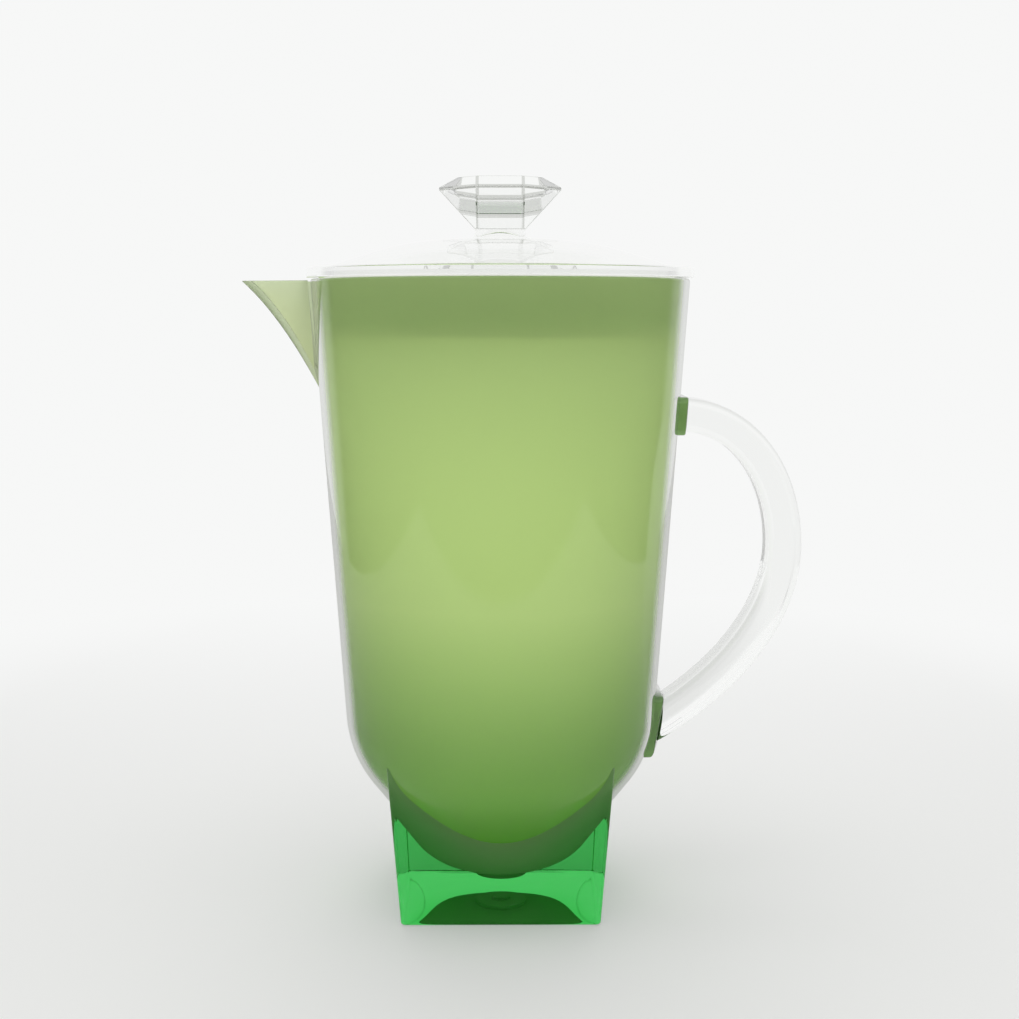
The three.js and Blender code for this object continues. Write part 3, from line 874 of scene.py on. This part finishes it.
def make_vault(glass):
    """The shallow hollow in the foot's underside, highest in its middle."""
    steps = VAULT_STEPS
    vertices = []
    for i in range(steps + 1):
        for j in range(steps + 1):
            across, along = 2 * i / steps - 1, 2 * j / steps - 1
            height = VAULT_DEPTH * (1 - abs(across) ** VAULT_SIDE_POWER) * (1 - along**2)
            vertices.append((across * VAULT_HALF_SIZE, along * VAULT_HALF_SIZE, height))
    row = steps + 1
    faces = []
    for i in range(steps):
        for j in range(steps):
            a = i * row + j
            faces.append([a, a + row, a + row + 1, a + 1])
    start = len(vertices)
    for x, y in [(-1, -1), (1, -1), (1, 1), (-1, 1)]:
        vertices.append((x * VAULT_HALF_SIZE, y * VAULT_HALF_SIZE, -VAULT_DEPTH))
    front = [i * row for i in range(row)]
    right = [steps * row + j for j in range(row)]
    back = [i * row + steps for i in range(steps, -1, -1)]
    left = list(range(steps, -1, -1))
    for n, side in enumerate([front, right, back, left]):
        faces.append([start + n, start + (n + 1) % 4, *side[::-1]])
    faces.append([start + 3, start + 2, start + 1, start])
    return mesh_piece("vault", vertices, faces, glass)


def make_pip_seat(bonded):
    top = BOTTOM_HEIGHT + WALL_THICKNESS / 2
    return lathe("pip_seat", [*pip_outline(0), (PIP_RADIUS, top), (0, top)], bonded)


# Lid and knob, bonded at the knob's foot

knob_foot = FLANGE_LOW + HUB_TOP_RISE + HALF_BOND
hub_top = knob_foot - CONTACT
flange_top = FLANGE_LOW + FLANGE_THICKNESS
dome_crown = FLANGE_LOW + DOME_CROWN_RISE
dome_flank = FLANGE_LOW + DOME_FLANK_RISE
skirt_low = FLANGE_LOW - SKIRT_DEPTH
skirt_outer = wall_radius(skirt_low) - WALL_THICKNESS - SKIRT_CLEARANCE
skirt_inner = skirt_outer - SKIRT_THICKNESS


def lid_underside():
    """Half section of the lid's underside, from its middle outwards to the skirt."""
    hub_base = FLANGE_LOW + HUB_BASE_RISE
    points = [(0, hub_base), (HUB_BASE_RADIUS, hub_base)]
    corner = (HUB_NECK_RADIUS, hub_base + LID_THICKNESS)
    bend(points, corner, (HUB_NECK_RADIUS, dome_crown - LID_THICKNESS), steps=HUB_INNER_STEPS)
    bend(
        points,
        (DOME_SHOULDER_RADIUS, dome_crown - LID_THICKNESS),
        (DOME_FLANK_RADIUS, dome_flank - LID_THICKNESS),
        (skirt_inner, flange_top - LID_THICKNESS / 2),
        steps=DOME_STEPS,
    )
    return points


def add_skirt_and_flange(points):
    edge = skirt_low + SKIRT_THICKNESS / 2
    middle = skirt_inner + SKIRT_THICKNESS / 2
    points.append((skirt_inner, edge))
    bend(points, (skirt_inner, skirt_low), (middle, skirt_low), steps=LID_EDGE_STEPS)
    bend(points, (skirt_outer, skirt_low), (skirt_outer, edge), steps=LID_EDGE_STEPS)
    points.append((skirt_outer, FLANGE_LOW))
    flat = FLANGE_RADIUS - FLANGE_ROUNDING
    points.append((flat, FLANGE_LOW))
    low_edge = (FLANGE_RADIUS, FLANGE_LOW + FLANGE_ROUNDING)
    bend(points, (FLANGE_RADIUS, FLANGE_LOW), low_edge, steps=LID_EDGE_STEPS)
    points.append((FLANGE_RADIUS, flange_top - FLANGE_ROUNDING))
    bend(points, (FLANGE_RADIUS, flange_top), (flat, flange_top), steps=LID_EDGE_STEPS)


def add_dome_and_neck(points):
    points.append((DOME_EDGE_RADIUS, flange_top))
    flank = (DOME_FLANK_RADIUS, dome_flank)
    shoulder = (DOME_SHOULDER_RADIUS, dome_crown)
    bend(points, flank, shoulder, (HUB_NECK_RADIUS, dome_crown), steps=DOME_STEPS)
    bend(points, (HUB_TOP_RADIUS, dome_crown), (HUB_TOP_RADIUS, hub_top), steps=HUB_STEPS)
    points.append((0, hub_top))


def on_knob_foot(turn):
    """Point of the knob's foot outline in a direction."""
    way = (math.cos(turn), math.sin(turn))
    x, y = abs(way[0]), abs(way[1])
    side = KNOB_FOOT_HALF_SIZE / max(x, y)
    corner = (KNOB_FOOT_HALF_SIZE + KNOB_FACET_HALF_WIDTH) / (x + y)
    reach = min(side, corner)
    return (way[0] * reach, way[1] * reach)


def neck_shape(x, y, height, turn):
    """Takes the round neck over into the outline of the knob's foot."""
    if height <= dome_crown:
        return (x, y)
    share = (height - dome_crown) / (hub_top - dome_crown)
    return point_between((x, y), on_knob_foot(turn), share)


def make_lid(clear):
    points = lid_underside()
    add_skirt_and_flange(points)
    add_dome_and_neck(points)
    return lathe("lid_dome", points, clear, LID_SMOOTH_DEG, neck_shape)


def knob_ring(half_size, height):
    width = KNOB_FACET_HALF_WIDTH
    corners = [
        (half_size, -width),
        (half_size, width),
        (width, half_size),
        (-width, half_size),
        (-half_size, width),
        (-half_size, -width),
        (-width, -half_size),
        (width, -half_size),
    ]
    return [(x, y, height) for x, y in corners]


def make_knob(clear, edge):
    """The cut knob. Its bevels have the second material, whose dark grey tint is painted shade for the dark
    lines along the edges.
    """
    girdle = knob_foot + KNOB_GIRDLE_RISE
    rings = [
        knob_ring(KNOB_FOOT_HALF_SIZE, knob_foot),
        knob_ring(KNOB_GIRDLE_HALF_SIZE, girdle),
        knob_ring(KNOB_GIRDLE_HALF_SIZE, girdle + KNOB_GIRDLE_EDGE),
        knob_ring(KNOB_TABLE_HALF_SIZE, FLANGE_LOW + HUB_TOP_RISE + KNOB_HEIGHT),
    ]
    knob = loft("knob_gem", rings, clear)
    knob.data.materials.append(edge)
    bevel = knob.modifiers.new("edges", "BEVEL")
    bevel.width = KNOB_EDGE_BEVEL * MM
    bevel.segments = KNOB_EDGE_STEPS
    bevel.material = 1
    bevel.limit_method = "ANGLE"
    bevel.angle_limit = math.radians(KNOB_EDGE_DEG)
    apply_modifiers(knob)
    knob.data.shade_flat()
    return knob


# Studio


def table_white():
    """White that fades into the backdrop, but not in reflections, which show the table's edges."""
    material, nodes, links = new_material("white_table")
    skin = nodes.new("ShaderNodeBsdfDiffuse")
    skin.inputs["Color"].default_value = TABLE_WHITE
    white = nodes.new("ShaderNodeEmission")
    white.inputs["Color"].default_value = BACKDROP_WHITE
    span = [c * MM for c in TABLE_FADE_SPAN]
    fade = rise_node(nodes, links, object_part(nodes, links, "Y"), span, low=TABLE_LIFT_SHARE)
    coordinates = nodes.new("ShaderNodeTexCoord")
    distance = nodes.new("ShaderNodeVectorMath")
    distance.operation = "LENGTH"
    links.new(coordinates.outputs["Object"], distance.inputs[0])
    border = rise_node(nodes, links, distance.outputs["Value"], [c * MM for c in TABLE_BORDER_SPAN])
    far = math_node(nodes, links, "MAXIMUM", fade, border)
    path = nodes.new("ShaderNodeLightPath")
    through = seen_through(nodes, links)
    straight = math_node(nodes, links, "MAXIMUM", path.outputs["Is Camera Ray"], through)
    share = math_node(nodes, links, "MULTIPLY", straight, far)
    surface = mix_shaders(nodes, links, share, skin.outputs["BSDF"], white.outputs["Emission"])
    finish_material(nodes, links, surface)
    return material


def make_table():
    corners = [
        (TABLE_LEFT, TABLE_FRONT, -TABLE_DROP),
        (TABLE_RIGHT, TABLE_FRONT, -TABLE_DROP),
        (TABLE_RIGHT, TABLE_BACK, -TABLE_DROP),
        (TABLE_LEFT, TABLE_BACK, -TABLE_DROP),
    ]
    table = mesh_piece("white_table", corners, [[0, 1, 2, 3]], table_white())


def make_world():
    """Bright behind and above and dim in front, with levels of its own for each way in which it is seen."""
    world = bpy.data.worlds.new("studio")
    bpy.context.scene.world = world
    world.use_nodes = True
    nodes, links = world.node_tree.nodes, world.node_tree.links
    nodes.clear()
    coordinates = nodes.new("ShaderNodeTexCoord")
    split = nodes.new("ShaderNodeSeparateXYZ")
    links.new(coordinates.outputs["Generated"], split.inputs["Vector"])

    def levels(back_span, back_level, top_span, top_level, front_level):
        """The level in front, which rises to another backwards and upwards."""
        back = rise_node(nodes, links, split.outputs["Y"], back_span, front_level, back_level)
        top = rise_node(nodes, links, split.outputs["Z"], top_span, front_level, top_level)
        return math_node(nodes, links, "MAXIMUM", back, top)

    def background(colour, strength):
        shader = nodes.new("ShaderNodeBackground")
        shader.inputs["Color"].default_value = colour
        feed(links, strength, shader.inputs["Strength"])
        return shader.outputs["Background"]

    lit = levels(BACKDROP_SPAN, BACKDROP_LIGHT, TOP_SPAN, TOP_LIGHT, FRONT_LIGHT)
    shining = levels(MIRRORED_SPAN, PLAIN_LEVEL, LOW_TOP_SPAN, PLAIN_LEVEL, FRONT_MIRRORED)
    through = levels(THROUGH_SPAN, PLAIN_LEVEL, LOW_TOP_SPAN, PLAIN_LEVEL, FRONT_THROUGH)
    path = nodes.new("ShaderNodeLightPath")
    shown = background(PLAIN_WHITE, lit)
    for test, strength in [
        (path.outputs["Is Glossy Ray"], shining),
        (seen_through(nodes, links), through),
        (path.outputs["Is Camera Ray"], PLAIN_LEVEL),
    ]:
        shown = mix_shaders(nodes, links, test, shown, background(BACKDROP_WHITE, strength))
    out = nodes.new("ShaderNodeOutputWorld")
    links.new(shown, out.inputs["Surface"])


def make_camera():
    data = bpy.data.cameras.new("photo_camera")
    data.sensor_fit = "HORIZONTAL"
    data.sensor_width = SENSOR_MM
    data.lens = FOCAL_PX / PHOTO_PX * SENSOR_MM
    camera = bpy.data.objects.new("photo_camera", data)
    camera.location = (0, -CAMERA_DISTANCE * MM, CAMERA_HEIGHT * MM)
    tilt = math.radians(LEVEL_DEG - CAMERA_PITCH_DEG)
    camera.rotation_euler = (tilt, 0, -math.radians(CAMERA_YAW_DEG))
    bpy.context.scene.collection.objects.link(camera)
    bpy.context.scene.camera = camera


# Assembly


def place(piece, body, node, slot):
    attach(piece, body)
    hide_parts(node)


# The vessel's wall darkens downwards by height: its low colours are painted shade
green = milky_green(
    "milky_green",
    (MILKY_SHADED_BACK, MILKY_SHADED_THROUGH, MILKY_SHADED_AHEAD),
    (MILKY_BACK, MILKY_THROUGH, MILKY_AHEAD),
)
# The spout gets a copy of the milky green whose colours are painted light
spout_lit_colours = (MILKY_BACK, SPOUT_LIT_THROUGH, SPOUT_LIT_AHEAD)
spout_lit_green = milky_green("milky_green_spout_lit", spout_lit_colours, spout_lit_colours)
# The pads get a darker copy of the milky green: painted shade
pad_shaded_colours = (MILKY_SHADED_BACK, PAD_SHADED_THROUGH, PAD_SHADED_AHEAD)
pad_shaded_green = milky_green("milky_green_pad_shaded", pad_shaded_colours, pad_shaded_colours)
foot_seat = shaded_bonded_green("shaded_bonded_green", MIRRORED_IN_FOOT)
handle_seat = shaded_bonded_green("shaded_bonded_green_pad", MIRRORED_IN_BAR)
gem = clear_acrylic("cut_clear_acrylic", KNOB_IOR, MIRRORED_IN_KNOB)
gem_edge_shade = clear_acrylic("cut_edge_shade_acrylic", KNOB_IOR, MIRRORED_IN_KNOB, tints=EDGE_SHADE_TINTS)
clear = clear_acrylic("clear_acrylic", ACRYLIC_IOR, MIRRORED_IN_BAR)
lid_clear = clear_acrylic("clear_acrylic_lid", ACRYLIC_IOR, MIRRORED_IN_BAR, LID_TINTS, SKIRT_SHADE_TINTS)
green_glass = clear_green_acrylic()

place(make_body(green), "vessel", "body", "milky_green")
place(make_spout(spout_lit_green), "vessel", "spout", "milky_green")
place(
    make_pad("pad_upper", HANDLE_UPPER_HEIGHT, UPPER_PAD_BELOW, UPPER_PAD_ABOVE, pad_shaded_green),
    "vessel",
    "upper_pad",
    "milky_green",
)
place(
    make_pad("pad_lower", HANDLE_LOWER_HEIGHT, LOWER_PAD_BELOW, LOWER_PAD_ABOVE, pad_shaded_green),
    "vessel",
    "lower_pad",
    "milky_green",
)
place(make_foot(green_glass, foot_seat), "vessel", "foot", "clear_green")
place(make_handle(clear, handle_seat), "vessel", "handle", "clear")
place(make_lid(lid_clear), "cover", "lid", "clear")
place(make_knob(gem, gem_edge_shade), "cover", "knob", "clear")

make_table()
make_world()
make_camera()
bpy.context.scene.view_settings.view_transform = "Standard"
